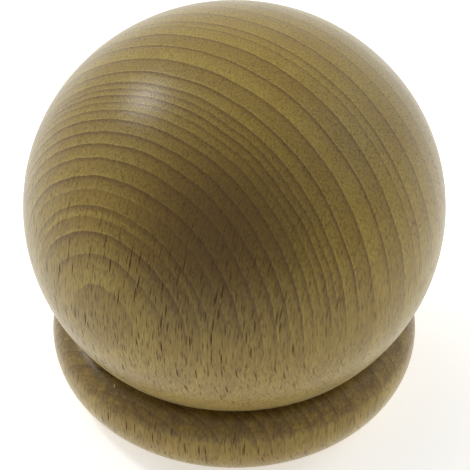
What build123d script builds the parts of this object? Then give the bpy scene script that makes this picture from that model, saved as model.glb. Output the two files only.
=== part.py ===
from build123d import *
import math
import os

# A beech ball finial turned in one piece: a slightly flattened ball that sinks into
# a round-sided foot with a V-shaped quirk between them, and a dowel hole in the base.
# Millimetres, +Z up, origin at the centre of the flat underside of the foot.

# The ball is a little wider than it is tall, as it came off the lathe.
ball_diameter = 60.0
ball_height = 57.5
ball_centre_height = 29.0

# The side of the foot is a slow round, widest a little above the base.
foot_diameter = 54.2
foot_widest_height = 6.8
foot_side_radius = 8.0
base_edge_radius = 0.6

# A tighter round rolls the side over into the quirk, from this slope upwards.
shoulder_radius = 4.2
shoulder_start_angle = 10.0

# Blind hole for the fixing dowel, drilled with a twist drill and lightly countersunk.
dowel_hole_diameter = 8.0
dowel_hole_depth = 25.0
drill_point_angle = 118.0
hole_mouth_chamfer = 0.6


def turned(profile):
    """The solid that a section swept once about the vertical axis makes."""
    return revolve(Plane.XZ * profile, Axis.Z, 360)


def ball():
    """The ball, flattened along the turning axis."""
    flattening = ball_height / ball_diameter
    round_ball = Sphere(ball_diameter / 2)
    return Pos(0, 0, ball_centre_height) * scale(round_ball, by=(1, 1, flattening))


def foot():
    """The foot: flat base, round side, and a shoulder that rolls over to a flat top."""
    side_centre = Vector(foot_diameter / 2 - foot_side_radius, foot_widest_height)
    base_angle = -math.degrees(math.asin(foot_widest_height / foot_side_radius))
    side = CenterArc(
        side_centre,
        foot_side_radius,
        start_angle=base_angle,
        arc_size=shoulder_start_angle - base_angle,
    )
    # The two rounds touch without a corner, so their centres lie on one line.
    centre_line = Vector(1, 0).rotate(Axis.Z, shoulder_start_angle)
    shoulder = CenterArc(
        side_centre + centre_line * (foot_side_radius - shoulder_radius),
        shoulder_radius,
        start_angle=shoulder_start_angle,
        arc_size=90 - shoulder_start_angle,
    )
    inside = Polyline(shoulder @ 1, (0, (shoulder @ 1).Y), (0, 0), side @ 0)
    disc = turned(make_face(side + shoulder + inside))
    base_edge = disc.edges().filter_by(GeomType.CIRCLE).sort_by(Axis.Z)[0]
    return fillet(base_edge, base_edge_radius)


def dowel_hole():
    """The hole: countersunk mouth, straight wall and the cone left by the drill point."""
    radius = dowel_hole_diameter / 2
    point_length = radius / math.tan(math.radians(drill_point_angle / 2))
    outline = Polyline(
        (0, 0),
        (radius + hole_mouth_chamfer, 0),
        (radius, hole_mouth_chamfer),
        (radius, dowel_hole_depth),
        (0, dowel_hole_depth + point_length),
        close=True,
    )
    return turned(make_face(outline))


# The quirk is the corner that the ball and the foot's shoulder leave between them.
finial = ball() + foot() - dowel_hole()

os.makedirs("parts", exist_ok=True)
export_step(finial, "parts/ball_finial.step")
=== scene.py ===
import logging
import math
from dataclasses import dataclass, field
from enum import Enum
from typing import Any

import bpy
import numpy as np
from mathutils import Matrix, Vector


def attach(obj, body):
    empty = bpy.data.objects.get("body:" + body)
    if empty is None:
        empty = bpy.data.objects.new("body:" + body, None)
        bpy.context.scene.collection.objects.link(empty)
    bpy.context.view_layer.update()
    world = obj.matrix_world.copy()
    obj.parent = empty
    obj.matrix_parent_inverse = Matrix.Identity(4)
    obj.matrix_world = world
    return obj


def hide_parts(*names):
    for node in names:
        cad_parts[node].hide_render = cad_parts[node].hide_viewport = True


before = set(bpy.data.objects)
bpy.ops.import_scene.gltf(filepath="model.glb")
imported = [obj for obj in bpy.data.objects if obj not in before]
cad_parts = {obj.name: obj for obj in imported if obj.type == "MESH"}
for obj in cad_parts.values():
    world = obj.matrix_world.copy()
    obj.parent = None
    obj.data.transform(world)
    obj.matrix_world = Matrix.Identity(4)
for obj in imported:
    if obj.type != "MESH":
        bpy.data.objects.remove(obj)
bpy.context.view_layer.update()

LOG = logging.getLogger("ball_finial")
MM = 0.001
RENDER_PIXELS = 470
WHITE = (1.0, 1.0, 1.0, 1.0)

Colour = tuple[float, float, float, float]
Socket = bpy.types.NodeSocket
Tree = bpy.types.NodeTree


def linear(hex_colour: str) -> Colour:
    """Turns an sRGB hex value such as "a08040" into Blender's linear colour.

    Args:
        hex_colour: six hex digits, red first.

    Returns:
        Linear red, green and blue, and an alpha of 1.
    """
    srgb = np.array([int(hex_colour[i : i + 2], 16) for i in (0, 2, 4)]) / 255
    low, high = srgb / 12.92, ((srgb + 0.055) / 1.055) ** 2.4
    red, green, blue = np.where(srgb <= 0.04045, low, high)
    return (float(red), float(green), float(blue), 1.0)


def add_node(
    tree: Tree, kind: str, inputs: dict[int | str, Any] | None = None, **settings: Any
) -> bpy.types.Node:
    """Adds one node, with its settings, its values and the links that come into it.

    Args:
        tree: the node tree that gets the node.
        kind: the node's type name without its "ShaderNode" prefix.
        inputs: socket name or number to a value, or to the output socket to link from.
        settings: the node's own properties, such as operation="DOT_PRODUCT".

    Returns:
        The new node.
    """
    node = tree.nodes.new("ShaderNode" + kind)
    for name, value in settings.items():
        setattr(node, name, value)
    for socket, value in (inputs or {}).items():
        if isinstance(value, Socket):
            tree.links.new(value, node.inputs[socket])
        else:
            node.inputs[socket].default_value = value
    return node


def fill_ramp(ramp: bpy.types.ColorRamp, stops: list[tuple[float, Colour]]) -> None:
    """Gives a ramp these stops in place of its own, each a place and a colour, in order."""
    ramp.elements.remove(ramp.elements[1])
    for number, (place, colour) in enumerate(stops):
        stop = ramp.elements[0] if number == 0 else ramp.elements.new(place)
        stop.position = place
        stop.color = colour


def greys(stops: tuple[tuple[float, float], ...]) -> list[tuple[float, Colour]]:
    """Turns places and shades into a ramp's stops."""
    return [(place, (shade, shade, shade, 1.0)) for place, shade in stops]


def new_material(name: str) -> tuple[bpy.types.Material, Tree, bpy.types.Node]:
    """Makes a material and returns it with its node tree and its shader node."""
    made = bpy.data.materials.new(name)
    made.use_nodes = True
    return made, made.node_tree, made.node_tree.nodes["Principled BSDF"]


def new_piece(name: str, points: np.ndarray, faces: list[np.ndarray]) -> bpy.types.Object:
    """Makes a smooth-shaded mesh object at the origin from whole arrays.

    Args:
        name: the piece's name.
        points: one row of x, y, z in metres for each vertex.
        faces: arrays of vertex numbers, one row for each face, all wound to face outwards.

    Returns:
        The linked object.
    """
    corners = np.concatenate([block.ravel() for block in faces])
    sides = np.concatenate([np.full(len(block), block.shape[1]) for block in faces])
    mesh = bpy.data.meshes.new(name)
    mesh.vertices.add(len(points))
    mesh.vertices.foreach_set("co", points.ravel())
    mesh.loops.add(len(corners))
    mesh.loops.foreach_set("vertex_index", corners)
    mesh.polygons.add(len(sides))
    mesh.polygons.foreach_set("loop_start", np.cumsum(sides) - sides)
    mesh.update(calc_edges=True)
    mesh.validate()
    mesh.shade_smooth()
    piece = bpy.data.objects.new(name, mesh)
    bpy.context.scene.collection.objects.link(piece)
    return piece


@dataclass(frozen=True)
class BeechGrain:
    """How the tree grew, in millimetres from the ball's centre.

    The heart of the tree lies to the front left, at heart_azimuth, and the fibres stand
    upright, so the rings are tall shells that the round surface cuts into nested curves.
    """

    heart_azimuth: float = -117.9
    shell_bow: float = 0.00226
    shell_fan: float = 0.00522
    shell_sweep: float = 0.0000629
    shell_twist: float = 0.00083
    # The shells wander by about a tenth of a millimetre over this distance.
    wander_size: float = 6.0
    wander_reach: float = 0.5
    heartmost_edge: float = 31.2
    # Widths of the years' growth from the heart outwards: slow years between good ones.
    ring_widths: tuple[float, ...] = (
        1.4, 1.25, 1.25, 0.9, 0.75, 1.3, 1.2, 1.8, 1.5, 1.4, 1.55, 1.25, 1.1, 1.05, 0.95, 1.05,
        1.85, 2.4, 2.8, 2.7, 2.25, 1.45, 3.0, 3.2, 2.9, 3.1, 3.3, 2.8, 3.0, 3.1, 3.0,
    )
    # How plainly each of those years shows, from 0 to 1.
    ring_contrast: tuple[float, ...] = (
        0.3, 0.5, 0.65, 0.25, 0.65, 0.25, 0.7, 0.6, 0.65, 0.75, 0.7, 0.55, 0.5, 0.7, 0.55, 0.55,
        0.8, 0.5, 0.8, 0.55, 0.45, 0.6, 0.7, 0.5, 0.65, 0.6, 0.7, 0.5, 0.6, 0.6, 0.6,
    )

    @property
    def to_heart(self) -> tuple[float, float, float]:
        """The level direction towards the heart of the tree."""
        angle = math.radians(self.heart_azimuth)
        return (math.cos(angle), math.sin(angle), 0.0)

    @property
    def along_ring(self) -> tuple[float, float, float]:
        """The level direction that follows the rings."""
        angle = math.radians(self.heart_azimuth)
        return (-math.sin(angle), math.cos(angle), 0.0)

    @property
    def ring_edges(self) -> np.ndarray:
        """Where each year's growth ends, counted from the heart outwards."""
        return self.heartmost_edge - np.concatenate([[0.0], np.cumsum(self.ring_widths)])


@dataclass(frozen=True)
class RayCells:
    """One size of wood ray: thin upright plates that run from the heart outwards.

    cell is the room that each ray has and plate is half its size, both as millimetres
    towards the heart, along the ring and up. strength is 1 for the darkest rays.
    """

    cell: tuple[float, float, float]
    plate: tuple[float, float, float]
    strength: float


class BeechRay(Enum):
    """The two sizes of ray that mark beech."""

    BROAD = RayCells((5.0, 1.7, 3.8), (2.2, 0.105, 1.15), 1.0)
    FINE = RayCells((2.6, 0.8, 2.3), (1.2, 0.08, 0.8), 0.7)


@dataclass(frozen=True)
class WoodAxes:
    """Sockets for a point in the tree's own directions, in millimetres."""

    heart: Socket
    along: Socket
    up: Socket
    point: Socket


@dataclass(frozen=True)
class YearSockets:
    """Sockets that tell of the year in which the wood at a point grew.

    phase runs from 0 at the start of spring growth to 1 at the year's end, plainness says
    how well the year shows, width is its growth in millimetres, and own is a number from 0
    to 1 that no other year has.
    """

    phase: Socket
    plainness: Socket
    width: Socket
    own: Socket


@dataclass(frozen=True)
class LacqueredBeech:
    """Beech, turned, sanded and given one thin coat of clear satin lacquer.

    To the eye it is an olive tan with a darker line at each year's end, fine upright
    pores, and the short brown flecks that mark beech where its rays meet the surface.
    Sizes are in millimetres.
    """

    grain: BeechGrain = BeechGrain()
    early_wood: str = "a38c3e"
    late_wood: str = "725722"
    warm_patch: str = "8e6a28"
    # The brown of the painted shade cloud, which darkens the side of the ball that faces the camera.
    painted_shade_brown: str = "523710"
    ray_brown: str = "40250b"
    year_line: str = "50300d"
    year_start: str = "b09a56"
    # The brown of the painted shade in the quirk under the ball.
    quirk_painted_shade: str = "543a22"

    # How dark the wood grows through the year, as shares of a year and shades.
    shade_through_year: tuple[tuple[float, float], ...] = (
        (0.0, 0.14), (0.25, 0.26), (0.5, 0.4), (0.8, 0.6), (0.97, 0.8), (1.0, 0.8),
    )
    middle_shade: float = 0.45
    shade_of_years: tuple[float, float] = (0.32, 0.56)
    # How crisp the rings are, from surfaces that face down, at 0, to those that face up, at 1.
    crisp_by_lean: tuple[tuple[float, float], ...] = (
        (0.0, 0.9), (0.08, 0.9), (0.2, 0.12), (0.49, 0.2), (0.64, 1.0),
    )
    foot_top: tuple[float, float] = (-18.5, -17.0)
    crisp_on_foot: float = 0.6
    # Each year ends in a dark line and starts with a pale one. Both fade over these widths.
    line_fade: tuple[float, float] = (0.5, 0.1)
    line_strength: float = 0.66
    start_fade: tuple[float, float] = (0.4, 0.1)
    start_strength: float = 0.28

    patch_size: float = 7.0
    patch_strength: float = 0.6
    # The painted shade cloud has no sharp edge: half its strength is left some 10 mm out.
    cloud_centre: tuple[float, float, float] = (22.8, 9.0, 15.0)
    cloud_fade: tuple[float, float] = (23.0, 6.5)
    cloud_raggedness: float = 9.0
    cloud_strength: float = 0.78

    # Fibres and pores are drawn about twice as coarse as the real ones, so that they show.
    fibre_size: tuple[float, float, float] = (0.26, 0.26, 2.2)
    fibre_light: tuple[float, float] = (0.76, 1.3)
    pore_size: tuple[float, float, float] = (0.34, 0.34, 1.5)
    pore_strength: float = 0.42

    # Heights above the base over which the painted shade in the quirk comes and goes.
    quirk_shade_from: tuple[float, float] = (9.0, 10.4)
    quirk_shade_to: tuple[float, float] = (12.6, 11.4)
    quirk_shade_on_foot: float = 0.55
    quirk_shade_on_ball: float = 0.45
    quirk_shade_mottles_per_mm: float = 0.7

    gloss: float = 0.3
    sheen: float = 0.23
    sheen_roughness: float = 0.4
    sheen_tint: Colour = (0.93, 1.0, 0.86, 1.0)
    ior: float = 1.45
    roughness: float = 0.3
    roughness_spread: float = 0.1
    lacquer_sink: float = 0.05
    sink_strength: float = 0.6

    def wood_axes(self, tree: Tree, centre: float) -> WoodAxes:
        """Adds the nodes that turn a point into the tree's own directions.

        Args:
            tree: the material's node tree.
            centre: the height of the ball's centre.

        Returns:
            The sockets, measured from the ball's centre.
        """
        grain = self.grain
        place = add_node(tree, "TexCoord").outputs["Object"]
        scaled = add_node(
            tree, "VectorMath", {0: place, 1: (1 / MM,) * 3, 2: (0, 0, -centre)},
            operation="MULTIPLY_ADD",
        ).outputs[0]
        wander = add_node(tree, "TexNoise", {"Vector": scaled, "Scale": 1 / grain.wander_size})
        shift = add_node(
            tree, "VectorMath", {0: wander.outputs["Color"], 1: (0.5,) * 3}, operation="SUBTRACT"
        ).outputs[0]
        moved = add_node(
            tree, "VectorMath", {0: shift, 1: (grain.wander_reach,) * 3, 2: scaled},
            operation="MULTIPLY_ADD",
        ).outputs[0]
        heart, along = (
            add_node(tree, "VectorMath", {0: moved, 1: way}, operation="DOT_PRODUCT").outputs["Value"]
            for way in (grain.to_heart, grain.along_ring)
        )
        up = add_node(tree, "SeparateXYZ", {0: moved}).outputs["Z"]
        point = add_node(tree, "CombineXYZ", {0: heart, 1: along, 2: up}).outputs[0]
        return WoodAxes(heart, along, up, point)

    def shell_level(self, tree: Tree, axes: WoodAxes) -> Socket:
        """Adds the nodes that tell how far towards the heart the shell at a point lies.

        The level is heart x (1 - fan x along) - along x (along x (bow + sweep x along) +
        twist x up), which bows, fans and twists flat shells into those of a real tree.

        Args:
            tree: the material's node tree.
            axes: the point's sockets.

        Returns:
            The level in millimetres.
        """
        grain = self.grain
        fan = add_node(
            tree, "Math", {0: axes.along, 1: -grain.shell_fan, 2: 1.0}, operation="MULTIPLY_ADD"
        ).outputs[0]
        bow = add_node(
            tree, "Math", {0: axes.along, 1: grain.shell_sweep, 2: grain.shell_bow},
            operation="MULTIPLY_ADD",
        ).outputs[0]
        bowed = add_node(tree, "Math", {0: bow, 1: axes.along}, operation="MULTIPLY").outputs[0]
        twisted = add_node(
            tree, "Math", {0: axes.up, 1: grain.shell_twist, 2: bowed}, operation="MULTIPLY_ADD"
        ).outputs[0]
        fanned = add_node(tree, "Math", {0: axes.heart, 1: fan}, operation="MULTIPLY").outputs[0]
        drop = add_node(tree, "Math", {0: twisted, 1: axes.along}, operation="MULTIPLY").outputs[0]
        return add_node(tree, "Math", {0: fanned, 1: drop}, operation="SUBTRACT").outputs[0]

    def year_of_growth(self, tree: Tree, axes: WoodAxes) -> YearSockets:
        """Adds the nodes that tell the year in which each point grew.

        A curve with a point at each year's end counts the years, and the fraction of that
        count is the phase. A ramp with a step at each year's end holds how plainly the year
        shows, as red, and its width as a share of the widest, as green.

        Args:
            tree: the material's node tree.
            axes: the point's sockets.

        Returns:
            The year's sockets.
        """
        grain = self.grain
        edges = grain.ring_edges
        widest = max(grain.ring_widths)
        low, high = float(edges[-1]), float(edges[0])
        places = (high - edges) / (high - low)
        share = add_node(
            tree, "MapRange",
            {"Value": self.shell_level(tree, axes), "From Min": high, "From Max": low},
            clamp=False,
        ).outputs[0]
        years = add_node(tree, "FloatCurve", {"Value": share})
        self.bend_curve(years, places)
        age = add_node(
            tree, "Math", {0: years.outputs[0], 1: float(len(edges) - 1)}, operation="MULTIPLY"
        ).outputs[0]
        phase = add_node(tree, "Math", {0: age}, operation="FRACT").outputs[0]
        steps = add_node(tree, "ValToRGB", {0: share})
        steps.color_ramp.interpolation = "CONSTANT"
        fill_ramp(steps.color_ramp, [
            (float(place), (contrast, width / widest, 0.0, 1.0))
            for place, contrast, width in zip(places, grain.ring_contrast, grain.ring_widths)
        ])
        shown = add_node(tree, "SeparateColor", {0: steps.outputs["Color"]})
        width = add_node(
            tree, "Math", {0: shown.outputs["Green"], 1: widest}, operation="MULTIPLY"
        ).outputs[0]
        count = add_node(tree, "Math", {0: age}, operation="FLOOR").outputs[0]
        own = add_node(tree, "TexWhiteNoise", {"W": count}, noise_dimensions="1D").outputs["Value"]
        return YearSockets(phase, shown.outputs["Red"], width, own)

    @staticmethod
    def bend_curve(node: bpy.types.Node, places: np.ndarray) -> None:
        """Gives a curve node one straight run from each place to the next, evenly up."""
        curve = node.mapping.curves[0]
        heights = np.linspace(0.0, 1.0, len(places))
        for place, height in list(zip(places, heights))[1:-1]:
            curve.points.new(float(place), float(height))
        for point in curve.points:
            point.handle_type = "VECTOR"
        node.mapping.update()

    def plainness(self, tree: Tree, axes: WoodAxes, year: YearSockets, upright: Socket) -> Socket:
        """Adds the nodes that fade the rings where the real ones are faint.

        Rings are crisp on end grain, where the surface faces up or down. They are faint
        where it leans downwards, and on the foot, which has more lacquer.

        Args:
            tree: the material's node tree.
            axes: the point's sockets.
            year: the year's sockets.
            upright: how far the surface faces up, from -1 to 1.

        Returns:
            How plainly the ring shows, from 0 to 1.
        """
        lean = add_node(tree, "MapRange", {"Value": upright, "From Min": -1.0}).outputs[0]
        by_lean = add_node(tree, "ValToRGB", {0: lean})
        fill_ramp(by_lean.color_ramp, greys(self.crisp_by_lean))
        below, above = self.foot_top
        on_foot = add_node(
            tree, "MapRange",
            {"Value": axes.up, "From Min": below, "From Max": above, "To Min": self.crisp_on_foot},
        ).outputs[0]
        crisp = add_node(
            tree, "Math", {0: by_lean.outputs["Color"], 1: on_foot}, operation="MULTIPLY"
        ).outputs[0]
        return add_node(tree, "Math", {0: year.plainness, 1: crisp}, operation="MULTIPLY").outputs[0]

    def ringed_wood(
        self, tree: Tree, year: YearSockets, plainness: Socket, patch: Socket
    ) -> tuple[Socket, Socket]:
        """Adds the wood's own colour, darker through each year and lined at its end.

        Args:
            tree: the material's node tree.
            year: the year's sockets.
            plainness: how plainly the ring shows.
            patch: a slow noise that makes some of the wood warmer.

        Returns:
            The colour, and how much of the dark line shows.
        """
        patchy = add_node(
            tree, "MapRange",
            {"Value": patch, "From Min": 0.45, "From Max": 0.75, "To Max": self.patch_strength},
        ).outputs[0]
        colour = add_node(
            tree, "Mix",
            {"Factor": patchy, "A": linear(self.early_wood), "B": linear(self.warm_patch)},
            data_type="RGBA",
        ).outputs["Result"]
        tone = add_node(tree, "ValToRGB", {0: year.phase})
        fill_ramp(tone.color_ramp, greys(self.shade_through_year))
        swing = add_node(
            tree, "Math", {0: tone.outputs["Color"], 1: self.middle_shade}, operation="SUBTRACT"
        ).outputs[0]
        least, most = self.shade_of_years
        middle = add_node(
            tree, "MapRange", {"Value": year.own, "To Min": least, "To Max": most}
        ).outputs[0]
        late = add_node(
            tree, "Math", {0: swing, 1: plainness, 2: middle}, operation="MULTIPLY_ADD"
        ).outputs[0]
        left = add_node(tree, "Math", {0: 1.0, 1: year.phase}, operation="SUBTRACT").outputs[0]
        fades = (
            (left, self.line_fade, self.line_strength),
            (year.phase, self.start_fade, self.start_strength),
        )
        shares = [late]
        for part, (outer, inner), strength in fades:
            away = add_node(tree, "Math", {0: part, 1: year.width}, operation="MULTIPLY").outputs[0]
            near = add_node(
                tree, "MapRange",
                {"Value": away, "From Min": outer, "From Max": inner, "To Max": strength},
            ).outputs[0]
            shares.append(
                add_node(tree, "Math", {0: near, 1: plainness}, operation="MULTIPLY").outputs[0]
            )
        for share, shade in zip(shares, (self.late_wood, self.year_line, self.year_start)):
            colour = add_node(
                tree, "Mix", {"Factor": share, "A": colour, "B": linear(shade)}, data_type="RGBA"
            ).outputs["Result"]
        return colour, shares[1]

    def painted_shade_cloud(self, tree: Tree, axes: WoodAxes, patch: Socket) -> Socket:
        """Adds a ragged cloud of painted shade, in brown, on the side of the ball that faces the camera, a
        little above the front.

        Args:
            tree: the material's node tree.
            axes: the point's sockets.
            patch: the noise that makes the cloud ragged.

        Returns:
            How much of the painted shade shows.
        """
        away = add_node(
            tree, "VectorMath", {0: axes.point, 1: self.cloud_centre}, operation="DISTANCE"
        ).outputs["Value"]
        ragged = add_node(
            tree, "Math", {0: patch, 1: self.cloud_raggedness, 2: away}, operation="MULTIPLY_ADD"
        ).outputs[0]
        outer, inner = self.cloud_fade
        return add_node(
            tree, "MapRange",
            {"Value": ragged, "From Min": outer, "From Max": inner, "To Max": self.cloud_strength},
            interpolation_type="SMOOTHSTEP",
        ).outputs[0]

    @staticmethod
    def rays(tree: Tree, axes: WoodAxes, size: RayCells) -> Socket:
        """Adds one size of ray: a thin plate round the middle of each cell.

        Args:
            tree: the material's node tree.
            axes: the point's sockets.
            size: the cells and plates.

        Returns:
            A socket that is the rays' strength inside a ray and 0 outside.
        """
        cells = add_node(
            tree, "VectorMath", {0: axes.point, 1: size.cell}, operation="DIVIDE"
        ).outputs[0]
        near = add_node(tree, "TexVoronoi", {"Vector": cells, "Scale": 1.0, "Randomness": 0.9})
        offset = add_node(
            tree, "VectorMath", {0: cells, 1: near.outputs["Position"]}, operation="SUBTRACT"
        ).outputs[0]
        stretch = tuple(cell / plate for cell, plate in zip(size.cell, size.plate))
        inside = add_node(
            tree, "VectorMath", {0: offset, 1: stretch}, operation="MULTIPLY"
        ).outputs[0]
        reach = add_node(tree, "VectorMath", {0: inside}, operation="LENGTH").outputs["Value"]
        return add_node(
            tree, "MapRange",
            {"Value": reach, "From Min": 1.15, "From Max": 0.6, "To Max": size.strength},
        ).outputs[0]

    def flecks(self, tree: Tree, axes: WoodAxes, outwards: Socket, upright: Socket) -> Socket:
        """Adds the flecks that the rays leave on the surface.

        A ray looks dark where the surface cuts it end on, pale where the surface lies along
        it, and is hard to see on end grain.

        Args:
            tree: the material's node tree.
            axes: the point's sockets.
            outwards: the surface's direction.
            upright: how far the surface faces up, from -1 to 1.

        Returns:
            How dark the fleck is.
        """
        broad, fine = (self.rays(tree, axes, ray.value) for ray in (BeechRay.BROAD, BeechRay.FINE))
        either = add_node(tree, "Math", {0: fine, 1: broad}, operation="MAXIMUM").outputs[0]
        end_on = add_node(
            tree, "VectorMath", {0: outwards, 1: self.grain.to_heart}, operation="DOT_PRODUCT"
        ).outputs["Value"]
        squared = add_node(tree, "Math", {0: end_on, 1: end_on}, operation="MULTIPLY").outputs[0]
        shown = add_node(
            tree, "Math", {0: squared, 1: 0.8, 2: 0.2}, operation="MULTIPLY_ADD"
        ).outputs[0]
        steep = add_node(tree, "Math", {0: upright}, operation="ABSOLUTE").outputs[0]
        on_side = add_node(
            tree, "MapRange", {"Value": steep, "From Min": 0.75, "From Max": 0.35, "To Min": 0.25}
        ).outputs[0]
        clear = add_node(tree, "Math", {0: shown, 1: on_side}, operation="MULTIPLY").outputs[0]
        return add_node(tree, "Math", {0: either, 1: clear}, operation="MULTIPLY").outputs[0]

    def pores(self, tree: Tree, axes: WoodAxes) -> Socket:
        """Adds the pores: dots on end grain and upright ticks elsewhere."""
        place = add_node(
            tree, "VectorMath", {0: axes.point, 1: self.pore_size}, operation="DIVIDE"
        ).outputs[0]
        cell = add_node(tree, "TexVoronoi", {"Vector": place, "Scale": 1.0}).outputs["Distance"]
        return add_node(
            tree, "MapRange",
            {"Value": cell, "From Min": 0.36, "From Max": 0.12, "To Max": self.pore_strength},
        ).outputs[0]

    def painted_shade_in_quirk(self, tree: Tree, patch: Socket) -> Socket:
        """Adds painted shade in and beside the quirk, 11.5 mm up, under the ball's overhang.

        Args:
            tree: the material's node tree.
            patch: the noise that breaks up the edge.

        Returns:
            A socket that is greatest in the quirk and 0 away from it.
        """
        place = add_node(tree, "TexCoord").outputs["Object"]
        height = add_node(tree, "SeparateXYZ", {0: place}).outputs["Z"]
        mottle = add_node(
            tree, "TexNoise", {"Vector": place, "Scale": self.quirk_shade_mottles_per_mm / MM, "Roughness": 0.6}
        ).outputs[0]
        uneven = add_node(
            tree, "Math", {0: patch, 1: 2.0 * MM, 2: height}, operation="MULTIPLY_ADD"
        ).outputs[0]
        edges = (
            (uneven, self.quirk_shade_from, self.quirk_shade_on_foot),
            (height, self.quirk_shade_to, self.quirk_shade_on_ball),
        )
        below, above = (
            add_node(
                tree, "MapRange",
                {"Value": value, "From Min": clean * MM, "From Max": dirty * MM, "To Max": strength},
            ).outputs[0]
            for value, (clean, dirty), strength in edges
        )
        least = add_node(tree, "Math", {0: below, 1: above}, operation="MINIMUM").outputs[0]
        blotch = add_node(
            tree, "MapRange",
            {"Value": mottle, "From Min": 0.35, "From Max": 0.65, "To Min": 0.45, "To Max": 1.45},
        ).outputs[0]
        return add_node(tree, "Math", {0: least, 1: blotch}, operation="MULTIPLY").outputs[0]

    def coat(self, tree: Tree, shader: bpy.types.Node, fibre: Socket, flecks: Socket, line: Socket) -> None:
        """Gives the shader its gloss, its fuzz and the relief of the sunken lacquer.

        Args:
            tree: the material's node tree.
            shader: the material's shader.
            fibre: the fibres' noise.
            flecks: how dark the fleck is.
            line: how much of the year's dark line shows.
        """
        rough = add_node(
            tree, "MapRange",
            {
                "Value": fibre,
                "To Min": self.roughness - self.roughness_spread,
                "To Max": self.roughness + self.roughness_spread,
            },
        ).outputs[0]
        tree.links.new(rough, shader.inputs["Roughness"])
        # The lacquer sinks a few hundredths of a millimetre into rays and year's ends.
        sunk = add_node(
            tree, "Math", {0: flecks, 1: -0.8, 2: fibre}, operation="MULTIPLY_ADD"
        ).outputs[0]
        height = add_node(
            tree, "Math", {0: line, 1: -0.6, 2: sunk}, operation="MULTIPLY_ADD"
        ).outputs[0]
        bump = add_node(
            tree, "Bump",
            {"Height": height, "Strength": self.sink_strength, "Distance": self.lacquer_sink * MM},
        )
        tree.links.new(bump.outputs["Normal"], shader.inputs["Normal"])
        shader.inputs["IOR"].default_value = self.ior
        shader.inputs["Sheen Roughness"].default_value = self.sheen_roughness
        shader.inputs["Sheen Tint"].default_value = self.sheen_tint
        # The fine fuzz that sanding leaves under a thin coat turns grazing views pale. The
        # open rays stay dark: they hold neither fuzz nor gloss.
        for socket, weight in (("Sheen Weight", self.sheen), ("Specular IOR Level", self.gloss)):
            closed = add_node(
                tree, "MapRange", {"Value": flecks, "To Min": weight, "To Max": 0.0}
            ).outputs[0]
            tree.links.new(closed, shader.inputs[socket])

    def material(self, centre: float) -> bpy.types.Material:
        """Builds the finish.

        Args:
            centre: the height of the ball's centre.

        Returns:
            The material.
        """
        made, tree, shader = new_material("satin_lacquered_beech")
        axes = self.wood_axes(tree, centre)
        year = self.year_of_growth(tree, axes)
        outwards = add_node(tree, "TexCoord").outputs["Normal"]
        upright = add_node(tree, "SeparateXYZ", {0: outwards}).outputs["Z"]
        plainness = self.plainness(tree, axes, year, upright)
        patch = add_node(
            tree, "TexNoise",
            {"Vector": axes.point, "Scale": 1 / self.patch_size, "Detail": 6.0, "Roughness": 0.72},
        ).outputs[0]
        colour, line = self.ringed_wood(tree, year, plainness, patch)
        flecks = self.flecks(tree, axes, outwards, upright)
        layers = (
            # Painted shade: a brown cloud where the ball faces the camera.
            (self.painted_shade_cloud(tree, axes, patch), self.painted_shade_brown),
            (flecks, self.ray_brown),
            (self.pores(tree, axes), self.ray_brown),
            # Painted shade: darker in the quirk under the ball.
            (self.painted_shade_in_quirk(tree, patch), self.quirk_painted_shade),
        )
        for share, shade in layers:
            colour = add_node(
                tree, "Mix", {"Factor": share, "A": colour, "B": linear(shade)}, data_type="RGBA"
            ).outputs["Result"]
        fibre_place = add_node(
            tree, "VectorMath", {0: axes.point, 1: self.fibre_size}, operation="DIVIDE"
        ).outputs[0]
        fibre = add_node(
            tree, "TexNoise", {"Vector": fibre_place, "Scale": 1.0, "Detail": 3.0}
        ).outputs[0]
        darkest, lightest = self.fibre_light
        value = add_node(
            tree, "MapRange",
            {"Value": fibre, "From Min": 0.3, "From Max": 0.7, "To Min": darkest, "To Max": lightest},
        ).outputs[0]
        streaked = add_node(tree, "HueSaturation", {"Color": colour, "Value": value})
        tree.links.new(streaked.outputs["Color"], shader.inputs["Base Color"])
        self.coat(tree, shader, fibre, flecks, line)
        return made


@dataclass(frozen=True)
class RaisedFibre:
    """Bare beech fibre, which looks like a dull straw-coloured hair."""

    colour: str = "c9b98d"
    roughness: float = 0.7
    gloss: float = 0.2

    def material(self) -> bpy.types.Material:
        """Builds the finish."""
        made, _, shader = new_material("raised_beech_fibre")
        shader.inputs["Base Color"].default_value = linear(self.colour)
        shader.inputs["Roughness"].default_value = self.roughness
        shader.inputs["Specular IOR Level"].default_value = self.gloss
        return made


def arc(middle: np.ndarray, radius: float, angles: np.ndarray) -> np.ndarray:
    """Points of a circle in the section, at these angles above level in radians."""
    return middle + radius * np.stack([np.cos(angles), np.sin(angles)], axis=-1)


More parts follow.
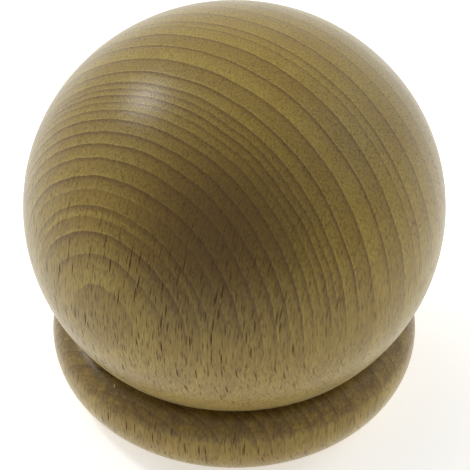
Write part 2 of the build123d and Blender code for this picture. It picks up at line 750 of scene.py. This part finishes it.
@dataclass
class TurnedFinial:
    """The whole object: ball, quirk, foot and dowel hole, turned from one billet.

    Sizes are in millimetres and are the same as the solid's. Across the rings the finial
    is a little narrower, by drying_ovality, because beech shrinks most along its rings.
    """

    ball_radius: float = 30.0
    ball_half_height: float = 28.75
    ball_centre: float = 29.0
    foot_radius: float = 27.1
    widest_height: float = 6.8
    side_radius: float = 8.0
    shoulder_radius: float = 4.2
    shoulder_angle: float = 10.0
    edge_radius: float = 0.6
    hole_radius: float = 4.0
    hole_depth: float = 25.0
    point_angle: float = 118.0
    mouth_chamfer: float = 0.6
    drying_ovality: float = 0.03
    columns: int = 380
    sharp_angle: float = 35.0
    finish: LacqueredBeech = field(default_factory=LacqueredBeech)

    @property
    def side_middle(self) -> np.ndarray:
        """The centre of the side's circle."""
        return np.array([self.foot_radius - self.side_radius, self.widest_height])

    @property
    def drill_tip(self) -> float:
        """The height of the hole's very end."""
        return self.hole_depth + self.hole_radius / math.tan(math.radians(self.point_angle / 2))

    def shoulder(self, angles: np.ndarray) -> np.ndarray:
        """Points on the shoulder's circle, which touches the side's from inside."""
        gap = self.side_radius - self.shoulder_radius
        middle = arc(self.side_middle, gap, np.radians(self.shoulder_angle))
        return arc(middle, self.shoulder_radius, angles)

    def quirk_angle(self) -> float:
        """The angle on the shoulder's circle at which it runs into the ball."""
        angles = np.radians(np.linspace(89.0, self.shoulder_angle, 4000))
        radius, height = self.shoulder(angles).T
        across = radius / self.ball_radius
        along = (height - self.ball_centre) / self.ball_half_height
        return float(angles[np.argmax(across**2 + along**2 > 1.0)])

    def turned_profile(self) -> np.ndarray:
        """The outside of the lengthwise section, from the top of the ball to the base.

        It is an ellipse's arc down to the quirk, then the shoulder's and the side's
        circles, and a small circle at the base's edge.

        Returns:
            Rows of radius and height, without the point on the axis.
        """
        quirk = self.quirk_angle()
        root = self.shoulder(np.array([quirk]))[0]
        start = math.asin((root[1] - self.ball_centre) / self.ball_half_height)
        turn = np.linspace(math.pi / 2, start, 150)[1:]
        ball = np.stack([
            self.ball_radius * np.cos(turn),
            self.ball_centre + self.ball_half_height * np.sin(turn),
        ], axis=-1)
        roll_over = math.radians(self.shoulder_angle)
        shoulder = self.shoulder(np.linspace(quirk, roll_over, 22)[1:])
        inset = self.side_radius - self.edge_radius
        edge_angle = -math.asin((self.widest_height - self.edge_radius) / inset)
        side = arc(self.side_middle, self.side_radius, np.linspace(roll_over, edge_angle, 26)[1:])
        edge_middle = arc(self.side_middle, inset, np.array(edge_angle))
        edge = arc(edge_middle, self.edge_radius, np.linspace(edge_angle, -math.pi / 2, 7)[1:])
        return np.concatenate([ball, shoulder, side, edge])

    def hole_profile(self, base_radius: float) -> np.ndarray:
        """The underside of the section: base, countersunk mouth, hole wall and cone.

        Args:
            base_radius: how far out the flat of the base reaches.

        Returns:
            Rows of radius and height, without the point on the axis.
        """
        mouth = self.hole_radius + self.mouth_chamfer
        corners = np.array([
            [base_radius, 0.0], [mouth, 0.0], [self.hole_radius, self.mouth_chamfer],
            [self.hole_radius, self.hole_depth], [0.0, self.drill_tip],
        ])
        points_on_runs = (16, 4, 14, 6)
        runs = [
            np.linspace(first, last, count)[1:]
            for first, last, count in zip(corners, corners[1:], points_on_runs)
        ]
        return np.concatenate(runs)[:-1]

    def build(self) -> bpy.types.Object:
        """Turns the section about the axis and dresses it.

        A point is (radius x cos turn, radius x sin turn, height), and the radius is smaller
        by ovality x sine squared of the turn from the heart, as a share of the ball's.

        Returns:
            The finished piece.
        """
        outside = self.turned_profile()
        section = np.concatenate([outside, self.hole_profile(float(outside[-1, 0]))])
        rows, columns = len(section), self.columns
        turn = np.arange(columns) * 2 * math.pi / columns
        swing = turn - math.radians(self.finish.grain.heart_azimuth)
        narrow = self.drying_ovality / self.ball_radius * np.sin(swing) ** 2
        radius = section[:, :1] * (1 - narrow)
        height = np.repeat(section[:, 1:], columns, axis=1)
        grid = np.stack([radius * np.cos(turn), radius * np.sin(turn), height], axis=-1)
        poles = np.array([[0, 0, self.ball_centre + self.ball_half_height], [0, 0, self.drill_tip]])
        points = np.concatenate([grid.reshape(-1, 3), poles]) * MM
        crown_pole, drill_pole = len(points) - 2, len(points) - 1
        here, right = np.arange(columns), (np.arange(columns) + 1) % columns
        top = np.arange(rows - 1)[:, None] * columns
        low = top + columns
        quads = np.stack([top + here, low + here, low + right, top + right], axis=-1)
        last = (rows - 1) * columns
        crown = np.stack([np.full(columns, crown_pole), here, right], axis=-1)
        drill = np.stack([last + here, np.full(columns, drill_pole), last + right], axis=-1)
        piece = new_piece("turned_finial", points, [quads.reshape(-1, 4), crown, drill])
        piece.data.set_sharp_from_angle(angle=math.radians(self.sharp_angle))
        piece.data.materials.append(self.finish.material(self.ball_centre))
        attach(piece, "root")
        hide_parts("ball_finial")
        LOG.info("%s: %d points", piece.name, len(points))
        return piece


@dataclass(frozen=True)
class Fibre:
    """One fibre that the sanding lifted: where it leaves the surface and how it stands.

    azimuth is in degrees; radius, height, length and thickness are in millimetres; rise is
    how far its tip turns up from level and swing how far it turns aside, in degrees.
    """

    azimuth: float
    radius: float
    height: float
    length: float
    thickness: float
    rise: float
    swing: float


@dataclass
class LiftedFibres:
    """A pale splinter and a few hairs of fuzz that stand up beside the quirk.

    sunk is how far below the surface each one starts, in millimetres.
    """

    fibres: tuple[Fibre, ...] = (
        Fibre(-132.3, 24.95, 11.05, 1.1, 0.1, 62.0, 20.0),
        Fibre(-149.0, 25.0, 11.0, 0.5, 0.045, 48.0, -30.0),
        Fibre(-104.0, 24.6, 11.2, 0.55, 0.045, 40.0, 35.0),
        Fibre(-100.5, 24.7, 11.15, 0.45, 0.04, 55.0, -25.0),
        Fibre(-61.0, 24.8, 11.1, 0.5, 0.045, 45.0, 30.0),
        Fibre(38.0, 24.8, 11.1, 0.5, 0.045, 50.0, -35.0),
        Fibre(121.0, 24.9, 11.05, 0.6, 0.05, 45.0, 25.0),
    )
    sunk: float = 0.1
    bow: float = 0.2
    taper: float = 0.7
    sides: int = 6
    steps: int = 8
    finish: RaisedFibre = field(default_factory=RaisedFibre)

    def points(self) -> np.ndarray:
        """Every fibre's vertices.

        At share s of its length a fibre has gone s x length along its heading, less
        s squared x bow x length of the level part; its thickness is
        thickness x (1 - s) to the power taper, and each end closes on a point.

        Returns:
            An array of fibre, vertex and x, y, z: the rings, then the root, then the tip.
        """
        rows = np.array([
            [f.azimuth, f.radius, f.height, f.length, f.thickness, f.rise, f.swing] for f in self.fibres
        ])
        turn, rise, swing = np.radians(rows[:, [0, 5, 6]]).T
        heading, level_height = turn + swing, np.zeros_like(turn)
        root = np.stack([
            rows[:, 1] * np.cos(turn), rows[:, 1] * np.sin(turn), rows[:, 2] - self.sunk,
        ], axis=-1)
        level = np.stack([np.cos(heading), np.sin(heading), level_height], axis=-1)
        across = np.stack([-np.sin(heading), np.cos(heading), level_height], axis=-1)
        along = level * np.cos(rise)[:, None] + np.array([0, 0, 1]) * np.sin(rise)[:, None]
        upward = np.cross(across, along)
        share = np.linspace(0, 1, self.steps + 1)
        length = rows[:, 3][:, None, None]
        gone = share[:, None] * along[:, None] - self.bow * share[:, None] ** 2 * level[:, None]
        spine = root[:, None] + length * gone
        spin = np.arange(self.sides) * 2 * math.pi / self.sides
        around = np.cos(spin)[:, None] * across[:, None] + np.sin(spin)[:, None] * upward[:, None]
        tapered = (1 - share[:-1])[None, :, None, None] ** self.taper
        rings = spine[:, :-1, None] + rows[:, 4][:, None, None, None] * tapered * around[:, None]
        body = rings.reshape(len(rows), -1, 3)
        return np.concatenate([body, spine[:, :1], spine[:, -1:]], axis=1)

    def build(self) -> bpy.types.Object:
        """Skins every fibre and dresses it.

        Returns:
            The piece.
        """
        block = self.points()
        count, stride = block.shape[:2]
        body = stride - 2
        here, right = np.arange(self.sides), (np.arange(self.sides) + 1) % self.sides
        step = np.arange(self.steps - 1)[:, None] * self.sides
        above = step + self.sides
        quads = np.stack([step + here, step + right, above + right, above + here], axis=-1)
        last = body - self.sides
        root_cap = np.stack([np.full(self.sides, body), right, here], axis=-1)
        tip_cap = np.stack([last + here, last + right, np.full(self.sides, body + 1)], axis=-1)
        offsets = (np.arange(count) * stride)[:, None, None]
        faces = [
            (offsets + part).reshape(-1, part.shape[1])
            for part in (quads.reshape(-1, 4), root_cap, tip_cap)
        ]
        piece = new_piece("lifted_fibres", block.reshape(-1, 3) * MM, faces)
        piece.data.materials.append(self.finish.material())
        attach(piece, "root")
        LOG.info("%s: %d fibres", piece.name, count)
        return piece


def direction(azimuth: float, elevation: float) -> Vector:
    """The unit vector at an azimuth from +X and an elevation, both in degrees."""
    turn, rise = math.radians(azimuth), math.radians(elevation)
    return Vector((
        math.cos(turn) * math.cos(rise), math.sin(turn) * math.cos(rise), math.sin(rise),
    ))


def seen_rays(tree: Tree) -> Socket:
    """Adds a socket that is 1 for camera, glossy and transmission rays, else 0."""
    path = add_node(tree, "LightPath")
    seen = path.outputs["Is Camera Ray"]
    for kind in ("Is Glossy Ray", "Is Transmission Ray"):
        seen = add_node(tree, "Math", {0: seen, 1: path.outputs[kind]}, operation="MAXIMUM").outputs[0]
    return seen


@dataclass(frozen=True)
class LightTable:
    """Matt white paint on a sheet that is lit from below round the object.

    To the eye it is an even white that still takes a soft shadow. glow lights the object
    within reach, in metres, and lift is what the camera and reflections see of it.
    """

    colour: str = "ececea"
    roughness: float = 0.9
    glow: float = 0.97
    reach: float = 0.12
    fade: float = 1.5
    lift: float = 0.55

    def material(self) -> bpy.types.Material:
        """Builds the finish."""
        made, tree, shader = new_material("matt_white_paint")
        shader.inputs["Base Color"].default_value = linear(self.colour)
        shader.inputs["Roughness"].default_value = self.roughness
        shader.inputs["Specular IOR Level"].default_value = 0.0
        shader.inputs["Emission Color"].default_value = WHITE
        place = add_node(tree, "TexCoord").outputs["Object"]
        away = add_node(tree, "VectorMath", {0: place}, operation="LENGTH").outputs["Value"]
        glow = add_node(
            tree, "MapRange",
            {
                "Value": away,
                "From Min": self.reach * self.fade,
                "From Max": self.reach,
                "To Max": self.glow,
            },
        ).outputs[0]
        strength = add_node(
            tree, "Mix", {"Factor": seen_rays(tree), "A": glow, "B": self.lift}, data_type="FLOAT"
        ).outputs["Result"]
        tree.links.new(strength, shader.inputs["Emission Strength"])
        return made


@dataclass
class Studio:
    """A pale floor in a soft light tent that is open, and so darker, on the camera's side.

    Distances are in metres and directions are azimuth and elevation in degrees.
    ball_pixel is where the ball's centre falls in the photograph's frame.
    """

    camera_elevation: float = 39.0
    camera_distance: float = 0.27
    sensor_width: float = 36.0
    pixels_per_radius: float = 210.4
    ball_radius: float = 0.03
    ball_centre: float = 0.029
    ball_pixel: tuple[float, float] = (234.4, 205.6)
    roll: float = 0.1
    floor_size: float = 3.0
    # The floor lies a hair below the base, so that the two don't flicker.
    floor_drop: float = 0.00005
    floor_paint: LightTable = field(default_factory=LightTable)
    softness: float = 12.0
    # Azimuth, elevation and strength of each soft light in the tent.
    soft_lights: tuple[tuple[float, float, float], ...] = (
        (30, 3, 1.1), (150, 3, 0.9), (18, 33, 3.1), (162, 33, 1.8), (120, 62, 1.8),
    )
    softbox_way: tuple[float, float] = (147.0, 45.0)
    softbox_distance: float = 1.0
    softbox_size: float = 0.19
    softbox_watts: float = 3.1

    @property
    def middle(self) -> Vector:
        """The ball's centre."""
        return Vector((0.0, 0.0, self.ball_centre))

    def camera(self) -> None:
        """Places the camera at the photograph's viewing angle, with the ball in its place."""
        to_camera = direction(-90, self.camera_elevation)
        focal_pixels = self.pixels_per_radius * self.camera_distance / self.ball_radius
        lens = bpy.data.cameras.new("camera")
        lens.sensor_width = self.sensor_width
        lens.lens = focal_pixels * lens.sensor_width / RENDER_PIXELS
        across, down = (RENDER_PIXELS / 2 - pixel for pixel in self.ball_pixel)
        tilt = Matrix.Rotation(-math.atan(down / focal_pixels), 4, "X")
        pan = Matrix.Rotation(-math.atan(across / focal_pixels), 4, "Y")
        spin = Matrix.Rotation(math.radians(self.roll), 4, "Z")
        aim = (-to_camera).to_track_quat("-Z", "Y").to_matrix().to_4x4()
        place = Matrix.Translation(self.middle + to_camera * self.camera_distance)
        camera = bpy.data.objects.new("camera", lens)
        camera.matrix_world = place @ aim @ spin @ pan @ tilt
        bpy.context.scene.collection.objects.link(camera)
        bpy.context.scene.camera = camera

    def floor(self) -> None:
        """Lays the pale floor."""
        reach = self.floor_size / 2
        corners = np.array([[-reach, -reach], [reach, -reach], [reach, reach], [-reach, reach]])
        points = np.column_stack([corners, np.full(4, -self.floor_drop)])
        floor = new_piece("studio_floor", points, [np.array([[0, 1, 2, 3]])])
        floor.data.materials.append(self.floor_paint.material())

    def tent(self) -> None:
        """Makes the light tent as the world's own light.

        Each soft light adds strength x exp(softness x (cosine of the angle to it - 1)).
        The camera and reflections see plain white in its place.
        """
        world = bpy.data.worlds.new("studio_light")
        bpy.context.scene.world = world
        world.use_nodes = True
        tree = world.node_tree
        tree.nodes.clear()
        way = add_node(tree, "TexCoord").outputs["Generated"]
        total: float | Socket = 0.0
        for azimuth, elevation, strength in self.soft_lights:
            cosine = add_node(
                tree, "VectorMath", {0: way, 1: direction(azimuth, elevation)}, operation="DOT_PRODUCT"
            ).outputs["Value"]
            power = add_node(
                tree, "Math", {0: cosine, 1: self.softness, 2: -self.softness},
                operation="MULTIPLY_ADD",
            ).outputs[0]
            lobe = add_node(tree, "Math", {0: power}, operation="EXPONENT").outputs[0]
            total = add_node(
                tree, "Math", {0: lobe, 1: strength, 2: total}, operation="MULTIPLY_ADD"
            ).outputs[0]
        light = add_node(tree, "Background", {"Color": WHITE, "Strength": total}).outputs[0]
        white = add_node(tree, "Background", {"Color": WHITE, "Strength": 1.0}).outputs[0]
        mixed = add_node(tree, "MixShader", {0: seen_rays(tree), 1: light, 2: white})
        add_node(tree, "OutputWorld", {"Surface": mixed.outputs[0]})

    def softbox(self) -> None:
        """Hangs the small softbox whose reflection shows on the upper left of the ball."""
        way = direction(*self.softbox_way)
        light = bpy.data.lights.new("softbox", "AREA")
        light.shape = "DISK"
        light.size = self.softbox_size
        light.energy = self.softbox_watts
        lamp = bpy.data.objects.new("softbox", light)
        lamp.location = self.middle + way * self.softbox_distance
        lamp.rotation_euler = (-way).to_track_quat("-Z", "Y").to_euler()
        bpy.context.scene.collection.objects.link(lamp)

    def build(self) -> None:
        """Sets up the camera, the floor and the light."""
        self.camera()
        self.floor()
        self.tent()
        self.softbox()
        bpy.context.scene.view_settings.view_transform = "Standard"
        LOG.info("studio: camera, floor and light are up")


def main() -> None:
    """Builds the studio and the object."""
    logging.basicConfig(level=logging.INFO, format="%(name)s: %(message)s")
    Studio().build()
    TurnedFinial().build()
    LiftedFibres().build()


if __name__ == "__main__":
    main()
